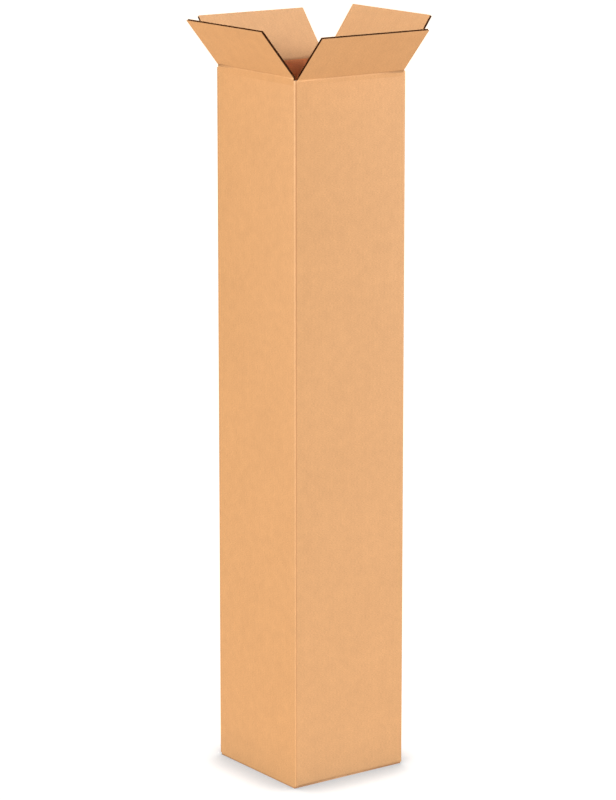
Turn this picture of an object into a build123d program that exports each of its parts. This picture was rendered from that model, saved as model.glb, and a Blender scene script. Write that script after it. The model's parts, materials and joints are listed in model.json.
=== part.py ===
from build123d import *
from math import hypot
import os

os.makedirs("parts", exist_ok=True)

# A tall square shipping carton, folded from one sheet of single-wall corrugated board.
# The origin is on the floor at the centre of the base, with +Z up.
# The X walls carry the outer flaps, top and bottom, and the Y walls carry the inner ones.

# The carton, in millimetres
width = 232.0  # outside, from one X wall to the other
depth = 232.0  # outside, from one Y wall to the other
height = 1240.0  # from the floor to midway between the two heights of the top creases
flap_length = 103.0  # from a top crease to the flap's rim
corner_radius = 2.5  # outside radius of the upright folds
base_fold_radius = 1.5  # outside radius of the folds under the box
base_seam = 1.0  # gap where two bottom flaps meet

# The board and its flutes
board = 4.0  # thickness
liner = 0.35  # thickness of each facing
medium = 0.25  # thickness of the fluted sheet between the facings
flute_pitch = 7.7  # crest to crest, before it is fitted to a whole number of flutes
flute_tip = 2.0  # width of a flute's hollow at its narrow side
flute_tip_bend = 0.5  # the medium turns there in short flats of about this length
flute_seal = 6.0  # the flutes are crushed shut this far from a crease

# The slots between the flaps, the folds and the glued joint
side_clearance = 0.5  # from a flap's side edge to the inside of the next wall
slot_relief = 0.3  # how far a slot is cut past the crease of the inner flaps
edge_play = 0.3  # how much narrower a top flap is than its wall panel, at each side
lap_clearance = 0.3  # between an outer flap and the inner flap that it closes over
fold_play = 0.1  # from the fold's axis to the outer face of the board
root_gap = 0.4  # from the fold's axis to the foot of the flap
tab_width = 35.0  # the tab glued inside the rear corner
tab_margin = 6.0  # from the tab's ends to the closed flaps
tab_taper = 9.0  # how much each end of the tab slopes

# How far each top flap stands open, in degrees outwards from upright
left_tilt = 39.0
front_tilt = 43.0
back_tilt = 39.0
right_tilt = 35.0

# An outer flap closes over the inner ones, so its crease is one thickness further out
crease_step = board + lap_clearance
outer_crease = height + crease_step / 2
inner_crease = height - crease_step / 2
outer_base = 0.0
inner_base = outer_base + board
slot_floor = inner_crease - slot_relief
slot_roof = inner_base + slot_relief
slot_inset = board + side_clearance
outer_span = depth - 2 * slot_inset
inner_span = width - 2 * slot_inset

# The body: four walls, the bottom flaps folded in under them and the glued tab
with BuildPart() as carton:
    # Each pair of walls is one folded section. At the top crease the inner face is pressed
    # back at 45 degrees, which is what lets the flap fold in over it.
    for plane, reach, span, base, crease in (
        (Plane.XZ, width / 2, outer_span, outer_base, outer_crease),
        (Plane.YZ, depth / 2, inner_span, inner_base, inner_crease),
    ):
        with BuildSketch(plane):
            with BuildLine():
                Polyline(
                    (base_seam / 2, base),
                    (reach, base),
                    (reach, crease),
                    (reach - board, crease - board),
                    (reach - board, base + board),
                    (base_seam / 2, base + board),
                    close=True,
                )
            make_face()
            fold = vertices().group_by(Axis.Y)[0].sort_by(Axis.X)[-1]
            fillet(fold, radius=base_fold_radius)
            mirror(about=Plane.YZ)
        extrude(amount=span / 2, both=True)

    # The upright folds between the walls, which end at the slots above and below. The sheet's
    # two ends meet at the corner that isn't rounded.
    with BuildSketch(Plane.XY.offset(slot_roof)):
        Rectangle(width, depth)
        fillet(vertices().sort_by(Axis((0, 0, 0), (1, 1, 0)))[:-1], radius=corner_radius)
        Rectangle(width - 2 * board, depth - 2 * board, mode=Mode.SUBTRACT)
        Rectangle(width, outer_span, mode=Mode.SUBTRACT)
        Rectangle(inner_span, depth, mode=Mode.SUBTRACT)
    extrude(amount=slot_floor - slot_roof)

    # There the right wall ends in a cut edge, and beside it the rear wall folds to go inside
    with BuildSketch(Plane.XY.offset(slot_roof)):
        with BuildLine():
            glued = width / 2 - board
            cut_edge = Line((glued, depth / 2 - corner_radius), (glued, depth / 2))
            mouth = Line(cut_edge @ 1, (glued - corner_radius, depth / 2))
            TangentArc(cut_edge @ 0, mouth @ 1, tangent=(0, 1))
        make_face()
    extrude(amount=slot_floor - slot_roof, mode=Mode.SUBTRACT)

    # The tab that carries on from that fold, glued to the inside of the right wall
    with BuildSketch(Plane.YZ.offset(glued)):
        with BuildLine():
            corner = depth / 2 - board
            low = inner_base + board + tab_margin
            high = inner_crease - board - tab_margin
            Polyline(
                (corner, low),
                (corner, high),
                (corner - tab_width, high - tab_taper),
                (corner - tab_width, low + tab_taper),
                close=True,
            )
        make_face()
    extrude(amount=-board)

# The hollows of the board's section lie between the facings and the fluted medium. Each is
# wide at its facing and narrow where the medium turns under the other one.
hollow_depth = board - 2 * liner - medium


def hollow(pitch):
    """A hollow's section, with its wide side on the X axis and its narrow side above."""
    run = pitch / 4 - flute_tip / 2
    slope = medium * hypot(hollow_depth, run) / hollow_depth
    base = pitch - flute_tip - 2 * slope
    with BuildSketch() as section:
        with BuildLine():
            Polyline(
                (-base / 2, 0),
                (base / 2, 0),
                (flute_tip / 2, hollow_depth),
                (-flute_tip / 2, hollow_depth),
                close=True,
            )
        make_face()
        chamfer(vertices().group_by(Axis.Y)[-1], length=flute_tip_bend)
    return section.sketch


def top_flap(hinge, span, tilt):
    """A top flap, standing open at its tilt.

    The hinge plane lies in the wall's outer face, with its origin at the middle of the crease,
    X along the crease and Z outwards. The fold's axis is fold_play outside that plane.
    """
    fold_axis = Axis(hinge.offset(fold_play).origin, hinge.x_dir)
    outwards = hinge.z_dir.rotate(fold_axis, tilt)
    leaf = Plane(fold_axis.position, x_dir=hinge.x_dir, z_dir=outwards)
    section = Plane(leaf.origin, x_dir=-leaf.z_dir, z_dir=leaf.x_dir)
    rim = Plane(leaf.origin + leaf.y_dir * flap_length, x_dir=leaf.x_dir, z_dir=leaf.y_dir)
    outer_face = fold_play
    inner_face = fold_play + board
    flap_span = span - 2 * edge_play
    flutes = round(flap_span / flute_pitch)
    pitch = flap_span / flutes
    profile = hollow(pitch)

    with BuildPart() as flap:
        # The board, with its foot pressed back at 45 degrees like the wall below it
        with BuildSketch(section):
            with BuildLine():
                Polyline(
                    (outer_face, root_gap),
                    (outer_face, flap_length),
                    (inner_face, flap_length),
                    (inner_face, root_gap + board),
                    close=True,
                )
            make_face()
        extrude(amount=flap_span / 2, both=True)

        # The flutes, open at the rim. The cut along each side edge opens one of them.
        with BuildSketch(rim):
            with Locations((0, outer_face + liner)):
                with GridLocations(pitch, 0, flutes, 1):
                    add(profile)
            with Locations((0, inner_face - liner)):
                with GridLocations(pitch, 0, flutes + 1, 1):
                    add(profile, rotation=180)
        extrude(amount=flute_seal - flap_length, mode=Mode.SUBTRACT)
    return flap


left_flap = top_flap(
    Plane((-width / 2, 0, outer_crease), x_dir=(0, -1, 0), z_dir=(-1, 0, 0)), outer_span, left_tilt
)
right_flap = top_flap(
    Plane((width / 2, 0, outer_crease), x_dir=(0, 1, 0), z_dir=(1, 0, 0)), outer_span, right_tilt
)
front_flap = top_flap(
    Plane((0, -depth / 2, inner_crease), x_dir=(1, 0, 0), z_dir=(0, -1, 0)), inner_span, front_tilt
)
back_flap = top_flap(
    Plane((0, depth / 2, inner_crease), x_dir=(-1, 0, 0), z_dir=(0, 1, 0)), inner_span, back_tilt
)

carton.part.label = "carton"
left_flap.part.label = "left_flap"
right_flap.part.label = "right_flap"
front_flap.part.label = "front_flap"
back_flap.part.label = "back_flap"

export_step(carton.part, "parts/carton.step")
export_step(left_flap.part, "parts/left_flap.step")
export_step(right_flap.part, "parts/right_flap.step")
export_step(front_flap.part, "parts/front_flap.step")
export_step(back_flap.part, "parts/back_flap.step")
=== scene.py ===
import json
from collections import namedtuple
from math import acos, cos, hypot, pi, radians, sin, tau

import bmesh
import bpy
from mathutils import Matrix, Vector


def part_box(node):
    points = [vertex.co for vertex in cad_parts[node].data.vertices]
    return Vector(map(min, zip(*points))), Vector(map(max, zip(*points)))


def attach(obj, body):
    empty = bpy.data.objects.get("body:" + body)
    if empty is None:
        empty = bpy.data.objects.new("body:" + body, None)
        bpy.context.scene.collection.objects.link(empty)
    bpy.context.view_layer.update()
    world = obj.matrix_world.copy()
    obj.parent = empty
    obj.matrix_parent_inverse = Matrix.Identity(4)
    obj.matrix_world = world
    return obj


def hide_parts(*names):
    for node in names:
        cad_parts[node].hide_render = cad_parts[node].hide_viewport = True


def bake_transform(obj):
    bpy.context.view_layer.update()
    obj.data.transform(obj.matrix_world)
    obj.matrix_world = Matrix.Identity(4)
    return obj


# A tall square carton in plain kraft board, folded from one sheet, with its top flaps standing open
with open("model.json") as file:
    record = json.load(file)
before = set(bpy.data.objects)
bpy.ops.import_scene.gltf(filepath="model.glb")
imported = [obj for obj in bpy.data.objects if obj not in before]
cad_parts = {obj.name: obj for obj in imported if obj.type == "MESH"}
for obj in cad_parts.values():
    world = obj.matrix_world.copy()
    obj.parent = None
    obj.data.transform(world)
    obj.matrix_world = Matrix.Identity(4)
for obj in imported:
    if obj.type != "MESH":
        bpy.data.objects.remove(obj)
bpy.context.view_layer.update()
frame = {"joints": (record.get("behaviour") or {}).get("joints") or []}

# Lengths are in metres, as in the frame
MM = 0.001
UP = Vector((0, 0, 1))
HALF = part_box("carton")[1].x  # half the carton's outside width
JOINTS = {joint["child"]: joint for joint in frame["joints"]}

# The board
BOARD = 4 * MM
LINER = 0.35 * MM
MEDIUM = 0.25 * MM
PITCH = 7.7 * MM  # from one flute to the next
SEAL = 7 * MM  # the flutes are crushed shut this far from a crease
SUNK = 0.3 * MM  # the fluted sheet runs on this far into the crushed board
BITE = 0.02 * MM  # and it is pressed this far into the facings
FLUTE_STEPS = 14  # strips round one flute

# The folds
FOLD = 2.5 * MM  # outside radius of the upright folds
BASE_FOLD = 1.5 * MM  # outside radius of the folds under the box
PLAY = 0.1 * MM  # from the axis of a top fold to the board's outer face
BENT = 6 * MM  # a top flap's paper is bent this far from its crease
QUARTER = [pi / 2 * i / 8 for i in range(9)]  # angles round a fold
INNER_CREASE = JOINTS["front_flap"]["pos_m"][2]

# The top flaps, and the bottom flaps under the box
LENGTH = 103 * MM  # from a top crease to the flap's rim
EDGE = 0.3 * MM  # how much narrower a top flap is than its wall, at each side
SEAM = 0.5 * MM  # half the gap where two bottom flaps meet

# The slots between the flaps
SLOT = 4.5 * MM  # from a corner to the side edge of a flap
RELIEF = 0.3 * MM  # how far a slot is cut past the crease of the inner flaps
SLOT_FLOOR = INNER_CREASE - RELIEF
SLOT_ROOF = BOARD + RELIEF
SLOT_TURN = acos(1 - RELIEF / BASE_FOLD)  # how far round its fold an inner bottom flap meets a slot

# The walls' vertices lie in rows: three at the base, three up the wall, and one where the meshes of
# the top flaps begin
FOOT = INNER_CREASE - 9 * MM
LEVELS = [SLOT_ROOF, BOARD + BASE_FOLD, 2 * BOARD, 0.31, 0.62, 0.93, FOOT]
TINY = 1e-6  # less than any size of the box
WELD = 2e6  # points in the same step, of this many to a metre, are one vertex

# The tab of the glued joint
TAB_WIDTH = 35 * MM
TAB_TAPER = 9 * MM
TAB_MARGIN = 6 * MM  # from its ends to the closed flaps
TAB_LOW = 2 * BOARD + TAB_MARGIN
TAB_HIGH = INNER_CREASE - BOARD - TAB_MARGIN

# The floor, and its soft shadow round the box
FLOOR_HALF = 60.0
FLOOR_GLOW = 1.5
SHADOW_REACH = 0.1

# The paper's colour is multiplied by these: a painted highlight along a fold, painted shade along a
# score
LIT_AND_WORN = (1.15, 1.22, 1.42)
SHADED_AND_PRESSED = (0.55, 0.45, 0.38)

OUTSIDE, INSIDE, SHADED_INSIDE, SHADED_CUT = range(4)  # the skins of a piece of board, in the order of SKINS; the last two are painted shade


class Wall:
    """A wall with its flaps, placed in the carton and on the flat sheet that it is folded from."""

    def __init__(self, index, name):
        self.flap = name + "_flap"
        joint = JOINTS[self.flap]
        self.axis = Vector(joint["pos_m"])
        self.tilt = radians(joint["range_deg"][1] - 90)  # it closes this far and 90 degrees more
        self.out = Vector((self.axis.x, self.axis.y, 0)).normalized()
        self.along = UP.cross(self.out)
        self.sheet = index * 2 * HALF  # the wall's middle on the sheet
        self.base = 0.0 if abs(self.out.x) > 0.5 else BOARD  # the inner flaps lie on the outer ones
        self.start = SLOT - HALF
        self.end = HALF - SLOT
        if index == 0:
            self.start = BOARD + FOLD - HALF  # it folds in beside the cut edge of the last wall


# In the order of the sheet, from the wall that carries the glued tab
WALLS = [Wall(i, name) for i, name in enumerate(("back", "left", "front", "right"))]


class Board:
    """A mesh of board under way. Each corner of a face keeps its place on the flat sheet."""

    def __init__(self):
        self.bm = bmesh.new()
        self.uv = self.bm.loops.layers.uv.new("board")
        self.fold = self.bm.verts.layers.float.new("fold")
        self.score = self.bm.verts.layers.float.new("score")
        self.seen = {}

    def vert(self, point, fold=0.0, score=0.0):
        """A vertex at the point, or the one already there. Fold adds painted highlight, the last value
        painted shade.
        """
        key = tuple(round(c * WELD) for c in point)
        if key not in self.seen:
            self.seen[key] = self.bm.verts.new(point)
        v = self.seen[key]
        v[self.fold] = max(v[self.fold], fold)
        v[self.score] = max(v[self.score], score)
        return v

    def face(self, corners, kind, facing=None, smooth=False):
        """A face from (vertex, place on the sheet) pairs, turned to look the way that facing does."""
        corners = [c for i, c in enumerate(corners) if c[0] is not corners[i - 1][0]]
        if len(corners) < 3:
            return
        if facing is not None:
            rim = [c[0].co for c in corners]
            normal = sum((a.cross(b) for a, b in zip(rim, rim[1:] + rim[:1])), Vector())
            if normal.dot(facing) < 0:
                corners.reverse()
        f = self.bm.faces.new([c[0] for c in corners])
        f.material_index = kind
        f.smooth = smooth
        for loop, corner in zip(f.loops, corners):
            loop[self.uv].uv = corner[1]

    def build(self, name, node):
        """The finished mesh, in place of the node's solid."""
        mesh = bpy.data.meshes.new(name)
        self.bm.to_mesh(mesh)
        self.bm.free()
        for skin in SKINS:
            mesh.materials.append(skin)
        ob = bpy.data.objects.new(name, mesh)
        bpy.context.scene.collection.objects.link(ob)
        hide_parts(node)
        return ob


class Graph:
    """A node tree whose nodes are made, set and linked in one call each."""

    def __init__(self, owner):
        owner.use_nodes = True
        self.tree = owner.node_tree
        self.tree.nodes.clear()

    def put(self, value, socket):
        """Links or sets a socket."""
        if isinstance(value, bpy.types.NodeSocket):
            self.tree.links.new(value, socket)
        else:
            socket.default_value = value

    def node(self, kind, inputs=None, **properties):
        n = self.tree.nodes.new("ShaderNode" + kind)
        for name, value in properties.items():
            setattr(n, name, value)
        for name, value in (inputs or {}).items():
            self.put(value, n.inputs[name])
        return n

    def noise(self, vector, scale, detail, stretch=1.0, shift=0.0):
        """Noise at a scale per metre, finer along the flutes where it is stretched across them."""
        place = self.node(
            "Mapping", {"Vector": vector, "Scale": (1, stretch, 1), "Location": (shift, shift / 2, 0)}
        )
        return self.node(
            "TexNoise", {"Vector": place.outputs[0], "Scale": scale, "Detail": detail, "Roughness": 0.6}
        ).outputs["Fac"]

    def ramp(self, fac, *stops):
        """Colours, or greys, along a value from 0 to 1."""
        n = self.node("ValToRGB", {"Fac": fac})
        while len(n.color_ramp.elements) < len(stops):
            n.color_ramp.elements.new(0.5)
        for element, (position, colour) in zip(n.color_ramp.elements, stops):
            element.position = position
            element.color = (*colour, 1) if isinstance(colour, tuple) else (colour, colour, colour, 1)
        return n.outputs["Color"]

    def maths(self, operation, *values):
        n = self.node("Math", operation=operation)
        for value, socket in zip(values, n.inputs):
            self.put(value, socket)
        return n.outputs[0]

    def multiply(self, colour, by, fac=1.0):
        n = self.node("Mix", data_type="RGBA", blend_type="MULTIPLY")
        self.put(fac, n.inputs[0])
        self.put(colour, n.inputs[6])
        self.put(by if isinstance(by, bpy.types.NodeSocket) else (*by, 1), n.inputs[7])
        return n.outputs[2]


def kraft(name, tone, spread, relief=0.05 * MM, sheen=0.25):
    """Kraft paper: mottling, fibres across the flutes, specks, flutes showing through, and painted
    highlight and shade.
    """
    m = bpy.data.materials.new(name)
    g = Graph(m)
    place = g.node("UVMap", uv_map="board").outputs["UV"]

    mottling = g.noise(place, scale=55, detail=4)
    patches = g.noise(place, scale=9, detail=2, shift=3)
    fibre = g.noise(place, scale=260, detail=4, stretch=5, shift=1)
    grains = g.noise(place, scale=1500, detail=2, stretch=2, shift=5)
    specks = g.noise(place, scale=650, detail=1, stretch=1.6, shift=2)
    dark = tuple(c * (1 - spread) for c in tone)
    light = tuple(c * (1 + spread) for c in tone)
    colour = g.ramp(mottling, (0.3, dark), (0.5, tone), (0.7, light))
    colour = g.multiply(colour, g.ramp(patches, (0.3, 0.98), (0.7, 1.015)))
    colour = g.multiply(colour, g.ramp(fibre, (0.3, 0.82), (0.5, 1.0), (0.72, 1.16)))
    colour = g.multiply(colour, g.ramp(grains, (0.3, 0.92), (0.7, 1.07)))
    colour = g.multiply(colour, g.ramp(specks, (0.66, 1.0), (0.75, (0.84, 0.8, 0.76))))

    # Faint stripes at the flute pitch: painted shade of the ridges that the flutes raise
    across = g.node("SeparateXYZ", {"Vector": place}).outputs["X"]
    flute = g.maths("COSINE", g.maths("MULTIPLY", across, tau / PITCH))
    shade = g.maths("MULTIPLY_ADD", flute, 0.5, 0.5)
    colour = g.multiply(colour, g.ramp(shade, (0.0, 0.992), (1.0, 1.006)))

    # Painted highlight along the folds, partly worn fibres; painted shade along the scores, partly
    # pressed paper
    fold = g.node("Attribute", attribute_name="fold").outputs["Fac"]
    score = g.node("Attribute", attribute_name="score").outputs["Fac"]
    colour = g.multiply(colour, LIT_AND_WORN, fold)
    colour = g.multiply(colour, SHADED_AND_PRESSED, score)

    rough = g.maths("MULTIPLY_ADD", fibre, 0.17, 0.78)
    height = g.maths("ADD", g.maths("MULTIPLY", fibre, 0.6), g.maths("MULTIPLY", grains, 0.4))
    paper = g.node("Bump", {"Strength": 0.5, "Distance": relief, "Height": height})
    ridges = g.node(
        "Bump",
        {"Strength": 1.0, "Distance": 0.02 * MM, "Height": flute, "Normal": paper.outputs[0]},
    )
    shader = g.node(
        "BsdfPrincipled",
        {
            "Base Color": colour,
            "Roughness": rough,
            "Normal": ridges.outputs[0],
            "Specular IOR Level": sheen,
        },
    )
    g.node("OutputMaterial", {"Surface": shader.outputs[0]})
    return m


SKINS = [
    kraft("kraft_outside", (0.478, 0.248, 0.103), 0.04),
    kraft("kraft_inside", (0.478, 0.252, 0.112), 0.04),
    # The walls' inside: the deep red-brown of the shaded inside of the box, painted shade
    kraft("kraft_within", (0.69, 0.235, 0.083), 0.05),
    # Cut edges and the fluted sheet: near black, painted shade of the hollow flutes
    kraft("kraft_cut", (0.062, 0.02, 0.006), 0.3, relief=0.1 * MM, sheen=0.05),
]

# A point of a top flap's section, as (outwards, up) from the fold's axis. Along is its place on the
# sheet, up from the crease, and the last two are its vertices' painted highlight and painted shade.
Spot = namedtuple("Spot", "at along fold score", defaults=(0, 0))


class Leaf:
    """A top flap's directions in its section, and its place in the carton."""

    def __init__(self, wall):
        self.wall = wall
        self.half = HALF - SLOT - EDGE  # half its width
        self.up = Vector((sin(wall.tilt), cos(wall.tilt)))
        self.inward = Vector((-cos(wall.tilt), sin(wall.tilt)))
        self.middle = Vector((-cos(wall.tilt / 2), sin(wall.tilt / 2)))  # halfway to its wall's inward

    def spot(self, up, deep, fold=0.0, score=0.0):
        """The spot this far up the flap from its crease and this far into the board."""
        return Spot(self.up * up + self.inward * (PLAY + deep), up, fold, score)

    def place(self, at, u):
        """A place of the section in the carton, this far along the crease from its middle."""
        return self.wall.axis + self.wall.out * at.x + UP * at.y + self.wall.along * u


def crease(leaf):
    """The outer and inner faces of the board close to a top crease, from the wall to the flap."""

    # Down, up and deep are in millimetres
    def on_wall(down, deep, fold=0.0, score=0.0):
        return Spot(Vector((-PLAY - deep * MM, -down * MM)), -down * MM, fold, score)

    def on_leaf(up, deep, fold=0.0, score=0.0):
        return leaf.spot(up * MM, deep * MM, fold, score)

    # Outside, a painted highlight just below the crease and painted shade along it, partly pressed
    # paper
    outer = [
        on_wall(2.6, 0.0),
        on_wall(1.7, 0.02, 0.3),
        on_wall(0.9, 0.09, 0.2),
        on_wall(0.35, 0.2),
        Spot(leaf.middle * 0.34 * MM, 0, 0, 0.16),
        on_leaf(0.35, 0.2, 0, 0.24),
        on_leaf(0.9, 0.09, 0, 0.18),
        on_leaf(1.7, 0.02),
        on_leaf(2.6, 0.0),
    ]
    # Inside, painted shade along the crease, partly pressed paper
    inner = [
        on_wall(4.6, 4.0),
        on_wall(3.3, 3.93, 0, 0.35),
        on_wall(2.2, 3.72, 0, 0.55),
        on_wall(1.3, 3.42, 0, 0.6),
        Spot(leaf.middle * 3.3 * MM, 0, 0, 0.55),
        on_leaf(1.3, 3.42, 0, 0.2),
        on_leaf(2.2, 3.72),
        on_leaf(3.3, 3.93),
        on_leaf(4.6, 4.0),
    ]
    return outer, inner


def fluted_sheet(sheet, leaf):
    """The wavy sheet between the facings of a top flap."""
    wall = leaf.wall
    flutes = round(2 * leaf.half / PITCH)
    pitch = 2 * leaf.half / flutes
    swing = (BOARD - 2 * LINER - MEDIUM) / 2 + BITE
    steps = flutes * FLUTE_STEPS
    rows = []
    for i in range(steps + 1):
        u = -leaf.half + 2 * leaf.half * i / steps
        wave = swing * cos(tau * u / pitch)
        slope = -swing * tau / pitch * sin(tau * u / pitch)
        run = hypot(1, slope)
        ends = []
        for side in (1, -1):
            deep = BOARD / 2 + wave + side * MEDIUM / (2 * run)
            over = u - side * slope / run * MEDIUM / 2
            over = max(-leaf.half, min(leaf.half, over))
            for up in (SEAL - SUNK, LENGTH):
                v = sheet.vert(leaf.place(leaf.spot(up, deep).at, over))
                ends.append((v, (wall.sheet + over, wall.axis.z + up)))
        rows.append(ends)

    # Its two faces, its rim and its foot, and then its side edges
    for a, b in zip(rows, rows[1:]):
        for p, q, smooth in ((0, 1, True), (3, 2, True), (1, 3, False), (2, 0, False)):
            # The fluted sheet takes the near-black cut skin: painted shade
            sheet.face([a[p], a[q], b[q], b[p]], SHADED_CUT, smooth=smooth)
    for ends in (rows[0], rows[-1]):
        sheet.face([ends[i] for i in (0, 2, 3, 1)], SHADED_CUT)


def top_flap(wall):
    """A top flap and the top of its wall: one sheet that bends at the crease."""
    leaf = Leaf(wall)
    sheet = Board()
    outer, inner = crease(leaf)
    foot = FOOT - wall.axis.z

    # The section as one closed line: up the outer face, round the gap between the facings and
    # down the inner face
    outer = [Spot(Vector((-PLAY, foot)), foot), *outer, leaf.spot(LENGTH, 0)]
    inner = [Spot(Vector((-PLAY - BOARD, foot)), foot), *inner, leaf.spot(LENGTH, BOARD)]
    gap = [
        leaf.spot(LENGTH, LINER),
        leaf.spot(SEAL, LINER),
        leaf.spot(SEAL, BOARD - LINER),
        leaf.spot(LENGTH, BOARD - LINER),
    ]
    line = outer + gap + inner[::-1]

    # The skin of each strip, up to the next spot. The facings' own thickness has their skin.
    # Below the crease the inner face takes the shaded skin, and the rim and gap the near-black cut
    # skin: painted shade
    below = sum(spot.along < 0 for spot in inner)
    kinds = [OUTSIDE] * len(outer) + [SHADED_CUT] * (len(gap) - 1)
    kinds += [INSIDE] * (len(inner) - below) + [SHADED_INSIDE] * below + [SHADED_CUT]

    # Five columns of vertices, from one side edge to the other
    columns = []
    for share in (0, 0.25, 0.5, 0.75, 1):
        column = []
        for spot in line:
            low, high = (-leaf.half, leaf.half) if spot.along > 0 else (wall.start, wall.end)
            u = low + share * (high - low)
            v = sheet.vert(leaf.place(spot.at, u), spot.fold, spot.score)
            column.append((v, (wall.sheet + u, wall.axis.z + spot.along)))
        columns.append(column)
    for a, b in zip(columns, columns[1:]):
        for i, kind in enumerate(kinds):
            j = (i + 1) % len(line)
            bend = kind != SHADED_CUT and max(abs(line[i].along), abs(line[j].along)) < BENT
            sheet.face([b[i], b[j], a[j], a[i]], kind, smooth=bend)

    # Each side edge: the foot and the crease, and then the two facings on both sides of the gap
    rim = len(outer) - 1
    solid = [*range(rim), rim + 2, rim + 3, *range(rim + 6, len(line))]
    facings = range(rim - 1, rim + 3), range(rim + 3, rim + 7)
    for column in (columns[0], columns[-1]):
        for part in (solid, *facings):
            corners = [column[i] for i in part]
            edge = [(v, ((v.co - wall.axis).dot(wall.out), at[1])) for v, at in corners]
            # The side edges take the near-black cut skin: painted shade
            sheet.face(edge, SHADED_CUT)
    fluted_sheet(sheet, leaf)

    bmesh.ops.recalc_face_normals(sheet.bm, faces=sheet.bm.faces)
    ob = sheet.build(wall.flap.replace("flap", "leaf"), wall.flap)
    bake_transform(ob)
    return ob


def wall_panel(sheet, wall):
    """A wall up to its top flap's mesh, with the bottom flap folded in under it."""
    base = wall.base
    floor_shade = 1.0 if base == 0 else 0.5  # painted shade along the folds where they stand on the floor, half as dark where they are raised

    # Each path is (outwards, up, along the sheet, painted shade), from the seam under the box
    outer = [(SEAM, base, SEAM - HALF, 0)]
    turns = sorted([SLOT_TURN, *QUARTER])
    for t in turns:
        out = HALF - BASE_FOLD * (1 - sin(t))
        up = base + BASE_FOLD * (1 - cos(t))
        outer.append((out, up, base + BASE_FOLD * (t - pi / 2), floor_shade * (1 - t / pi)))
    outer += [(HALF, z, z, 0) for z in LEVELS if z > base + BASE_FOLD]
    inner = [(SEAM, base + BOARD, SEAM - HALF, 0), (HALF - BOARD, base + BOARD, base + BOARD, 0)]
    inner += [(HALF - BOARD, z, z, 0) for z in LEVELS if z > base + BOARD]

    def row(spot):
        out, up, along, score = spot
        ends = []
        for u in (wall.start, wall.end):
            v = sheet.vert(wall.out * out + UP * up + wall.along * u, 0, score)
            ends.append((v, (wall.sheet + u, along)))
        return ends

    # The inner face takes the shaded skin: painted shade of the inside of the box
    for path, kind, side in ((outer, OUTSIDE, 1), (inner, SHADED_INSIDE, -1)):
        for i, (p, q) in enumerate(zip(path, path[1:])):
            a, b = row(p), row(q)
            facing = (wall.out * (q[1] - p[1]) - UP * (q[0] - p[0])) * side
            bend = kind == OUTSIDE and 1 <= i < len(turns)
            sheet.face([a[0], a[1], b[1], b[0]], kind, facing, bend)

    # Its edges at the seam, and where the top flap's mesh goes on
    for p, q, facing in ((outer[0], inner[0], -wall.out), (outer[-1], inner[-1], UP)):
        near = row(p)
        far = [(v, (u, along + BOARD)) for v, (u, along) in row(q)]
        # These edges take the near-black cut skin: painted shade
        sheet.face([near[0], near[1], far[1], far[0]], SHADED_CUT, facing)

    # Its side edges in the slots, and the slivers of the corners that stand past an inner flap's fold
    under = [p for p in outer if p[1] < SLOT_ROOF + TINY]
    under += [(HALF - BOARD, z) for z in LEVELS if z < base + BOARD or z == SLOT_ROOF]
    under += [inner[1], inner[0]]
    past = [p for p in outer if SLOT_ROOF - TINY < p[1] < base + BASE_FOLD + TINY]
    past.append((HALF, SLOT_ROOF))
    for u, facing in ((wall.start, -wall.along), (wall.end, wall.along)):
        for profile, side in ((under, 1), (past, -1)):
            points = [wall.out * p[0] + UP * p[1] + wall.along * u for p in profile]
            edge = [(sheet.vert(p), (p.dot(wall.out), p.z)) for p in points]
            sheet.face(edge, INSIDE, facing * side)


# A point of an upright corner's outline, in millimetres along the wall and into the board from where
# the outer faces meet. Foot and top are its painted shade at the two ends, and fold is its painted
# highlight at the top. The skin is that of the strip up to the next point.
Bend = namedtuple("Bend", "along deep foot top fold skin", defaults=(0, 0, 0, OUTSIDE))


def fold_line():
    """The outline round a fold, from one wall to the next. Its first half has a painted highlight,
    partly wear, the rest painted shade.
    """
    radius = FOLD / MM
    line = [Bend(-SLOT / MM, 0, fold=0.4), Bend(0.5 - SLOT / MM, 0, fold=0.9)]
    for t in QUARTER:
        at = -radius * (1 - sin(t)), radius * (1 - cos(t))
        if t <= pi / 4:
            line.append(Bend(*at, foot=0.05, fold=1.0))
        else:
            line.append(Bend(*at, foot=0.3, top=0.65))
    line += [Bend(0, 3.1, 0.05, 0.1), Bend(-0.06, 3.7, 0.02, 0.16), Bend(0, 4.2), Bend(0, SLOT / MM)]
    return line


def glued_line():
    """The outline at the glued joint: the last wall's cut edge, and the first wall's fold inside it."""
    radius, board, liner = FOLD / MM, BOARD / MM, LINER / MM
    line = [
        Bend(-SLOT / MM, 0),
        Bend(0, 0, skin=INSIDE),
        # The gap between the cut edge's facings is darkened: painted shade
        Bend(0, liner, 1, 1, skin=INSIDE),
        Bend(0, board - liner, 1, 1, skin=INSIDE),
        Bend(0, board),
    ]
    # Painted shade round the first wall's fold inside the joint
    for t in QUARTER[:-1]:
        line.append(Bend(-radius * cos(t), board + radius * sin(t), 0.3, 0.3))
    line.append(Bend(0, board + radius))
    return line


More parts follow.
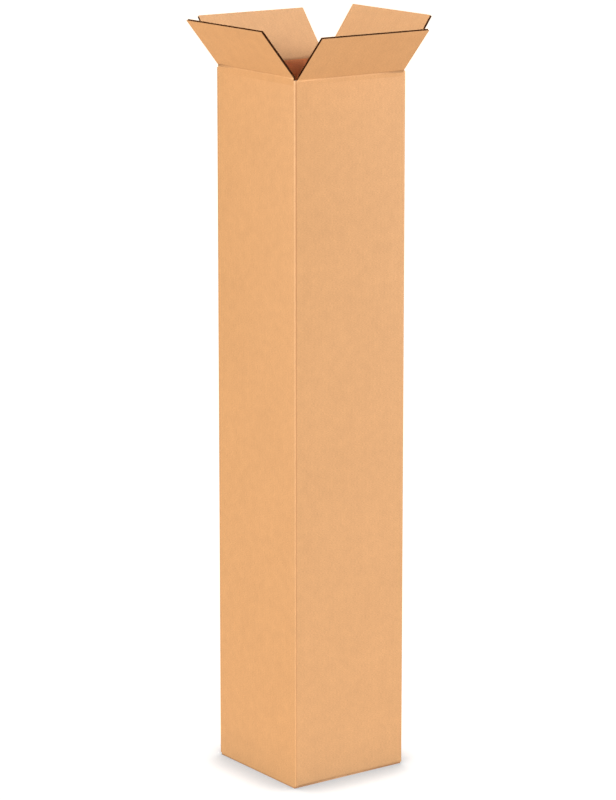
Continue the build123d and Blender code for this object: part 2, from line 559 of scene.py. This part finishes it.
def corner(sheet, wall, line):
    """The upright strip of board between a wall and the next one, as far as the slots reach."""
    tip = (wall.out + wall.along) * HALF
    levels = [*LEVELS, SLOT_FLOOR]
    board = BOARD / MM
    back = [(-board, line[-1].deep), (-board, board), (-SLOT / MM, board)]
    # The back of the corner takes the shaded skin: painted shade
    back = [Bend(*at, skin=SHADED_INSIDE) for at in back]

    def vert(bend, z):
        at = tip + (wall.along * bend.along - wall.out * bend.deep) * MM + UP * z
        # The painted highlight grows from none at the floor to full at the top, and the painted shade
        # goes from foot to top
        share = z / SLOT_FLOOR
        v = sheet.vert(at, bend.fold * share, bend.foot + (bend.top - bend.foot) * share)
        return v, (wall.sheet + HALF + (bend.along + bend.deep) * MM, z)

    for path in (line, back):
        for p, q in zip(path, path[1:]):
            facing = wall.along * (q.deep - p.deep) + wall.out * (q.along - p.along)
            for low, high in zip(levels, levels[1:]):
                corners = [vert(p, low), vert(q, low), vert(q, high), vert(p, high)]
                sheet.face(corners, p.skin, facing, p.skin == OUTSIDE)

    # Its ends in the slots. The lower one has a point where the fold of an inner bottom flap meets it.
    cut = BASE_FOLD * (1 - sin(SLOT_TURN)) / MM
    if wall.base > 0:
        roof = [*line, *back, Bend(line[0].along, cut)]
    else:
        roof = [*line, Bend(-cut, line[-1].deep), *back]
    for z, ring, facing in ((levels[0], roof, -UP), (levels[-1], line + back, UP)):
        sheet.face([(vert(p, z)[0], (p.along * MM, p.deep * MM)) for p in ring], INSIDE, facing)

    # Its sides, where the walls beside it belong to the flaps' meshes
    for p, q, facing in ((line[0], back[-1], -wall.along), (line[-1], back[0], -wall.out)):
        corners = [vert(p, FOOT), vert(p, SLOT_FLOOR), vert(q, SLOT_FLOOR), vert(q, FOOT)]
        sheet.face(corners, INSIDE, facing)


def glued_tab(sheet, wall):
    """The tab on the first wall, glued inside the last wall, which is the one given."""
    near = HALF - BOARD
    glue = LINER / 2  # the tab's mesh reaches this far into the walls, which it is one with
    outline = [
        (near + glue, TAB_LOW),
        (near + glue, TAB_HIGH),
        (near - TAB_WIDTH, TAB_HIGH - TAB_TAPER),
        (near - TAB_WIDTH, TAB_LOW + TAB_TAPER),
    ]
    inner, outer = [], []
    for ring, out in ((inner, near - BOARD), (outer, near + glue)):
        for along, up in outline:
            v = sheet.bm.verts.new(wall.out * out + wall.along * along + UP * up)
            ring.append((v, (along + out - near, up)))
    # The tab's faces take the shaded skin: painted shade
    sheet.face(inner, SHADED_INSIDE, -wall.out)
    sheet.face(outer, SHADED_INSIDE, wall.out)
    middle = wall.along * (near - TAB_WIDTH / 2) + UP * (TAB_LOW + TAB_HIGH) / 2
    for i in range(4):
        j = (i + 1) % 4
        facing = (inner[i][0].co + inner[j][0].co) / 2 - middle - wall.out * near
        # The tab's edges take the near-black cut skin: painted shade
        sheet.face([inner[i], inner[j], outer[j], outer[i]], SHADED_CUT, facing)


def body():
    """The walls, the folds between them, the bottom flaps and the glued joint."""
    sheet = Board()
    for wall in WALLS:
        wall_panel(sheet, wall)
        corner(sheet, wall, glued_line() if wall is WALLS[-1] else fold_line())
    glued_tab(sheet, WALLS[-1])
    ob = sheet.build("carton_board", "carton")
    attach(ob, "carton")
    return ob


def floor():
    """A white floor that glows a little, with a soft grey shadow close round the box."""
    m = bpy.data.materials.new("floor_white")
    g = Graph(m)
    near = g.node("AmbientOcclusion", {"Distance": SHADOW_REACH}, samples=12)
    shade = g.ramp(
        near.outputs["AO"],
        (0.5, (0.35, 0.36, 0.37)),
        (0.62, (0.385, 0.4, 0.41)),
        (0.95, (0.73, 0.73, 0.725)),
        (1.0, (0.8, 0.73, 0.64)),
    )
    shader = g.node(
        "BsdfPrincipled",
        {
            "Base Color": shade,
            "Emission Color": shade,
            "Emission Strength": FLOOR_GLOW,
            "Roughness": 1.0,
            "Specular IOR Level": 0.0,
        },
    )
    g.node("OutputMaterial", {"Surface": shader.outputs[0]})
    far = FLOOR_HALF
    corners = [(-far, -far, 0), (far, -far, 0), (far, far, 0), (-far, far, 0)]
    mesh = bpy.data.meshes.new("floor")
    mesh.from_pydata(corners, [], [(0, 1, 2, 3)])
    mesh.materials.append(m)
    ob = bpy.data.objects.new("floor", mesh)
    bpy.context.scene.collection.objects.link(ob)


def softbox(name, azimuth, elevation, spread, strength, colour, lit):
    """A wide light far away, on the lit pieces alone.

    The angles are in degrees, and the azimuth is measured as the camera's.
    """
    data = bpy.data.lights.new(name, "SUN")
    data.angle = radians(spread)
    data.energy = strength
    data.color = colour
    ob = bpy.data.objects.new(name, data)
    a, e = radians(azimuth), radians(elevation)
    towards = Vector((sin(a) * cos(e), -cos(a) * cos(e), sin(e)))
    ob.rotation_euler = towards.to_track_quat("Z", "Y").to_euler()
    ob.light_linking.receiver_collection = lit
    bpy.context.scene.collection.objects.link(ob)


def lights(pieces):
    """Three low lights round the box and one straight above it. The floor isn't lit by them."""
    lit = bpy.data.collections.new("lit_pieces")
    for piece in pieces:
        lit.objects.link(piece)
    softbox("key", -62, 15, 12, 2.95, (1.0, 1.03, 1.05), lit)
    softbox("fill", 0, 15, 12, 1.3, (0.88, 1.07, 1.45), lit)
    softbox("ceiling", 0, 89, 16, 3.0, (0.98, 1.02, 1.06), lit)
    softbox("rear", 143, 15, 12, 3.8, (1.0, 1.0, 1.0), lit)


def sky():
    """Light from low down all round, so that little of it falls into the open box."""
    world = bpy.data.worlds.new("studio")
    g = Graph(world)
    up = g.node("SeparateXYZ", {"Vector": g.node("TexCoord").outputs["Generated"]}).outputs["Z"]
    glow = g.ramp(up, (0.12, 1.0), (0.42, 0.0))  # up is the sine of the height above the horizon
    background = g.node("Background", {"Color": glow, "Strength": 1.3})
    g.node("OutputWorld", {"Surface": background.outputs[0]})
    bpy.context.scene.world = world


def camera():
    """The photograph's view, as near as a camera that serves the other views too can come."""
    azimuth, elevation, distance = radians(-35.83), radians(11.24), 5.7268
    aim_height, aim_left = 0.8272, 0.00473
    focal_pixels, image_pixels = 3300, 800
    right = Vector((cos(azimuth), sin(azimuth), 0))
    back = Vector((sin(azimuth) * cos(elevation), -cos(azimuth) * cos(elevation), sin(elevation)))
    data = bpy.data.cameras.new("camera")
    data.sensor_width = 36
    data.lens = data.sensor_width * focal_pixels / image_pixels
    data.shift_y = -0.12
    data.clip_end = 200
    ob = bpy.data.objects.new("camera", data)
    ob.location = UP * aim_height - right * aim_left + back * distance
    ob.rotation_euler = (-back).to_track_quat("-Z", "Y").to_euler()
    bpy.context.scene.collection.objects.link(ob)
    bpy.context.scene.camera = ob


box = body()
leaves = [top_flap(wall) for wall in WALLS]
floor()
sky()
lights([box, *leaves])
camera()
bpy.context.scene.view_settings.view_transform = "Standard"
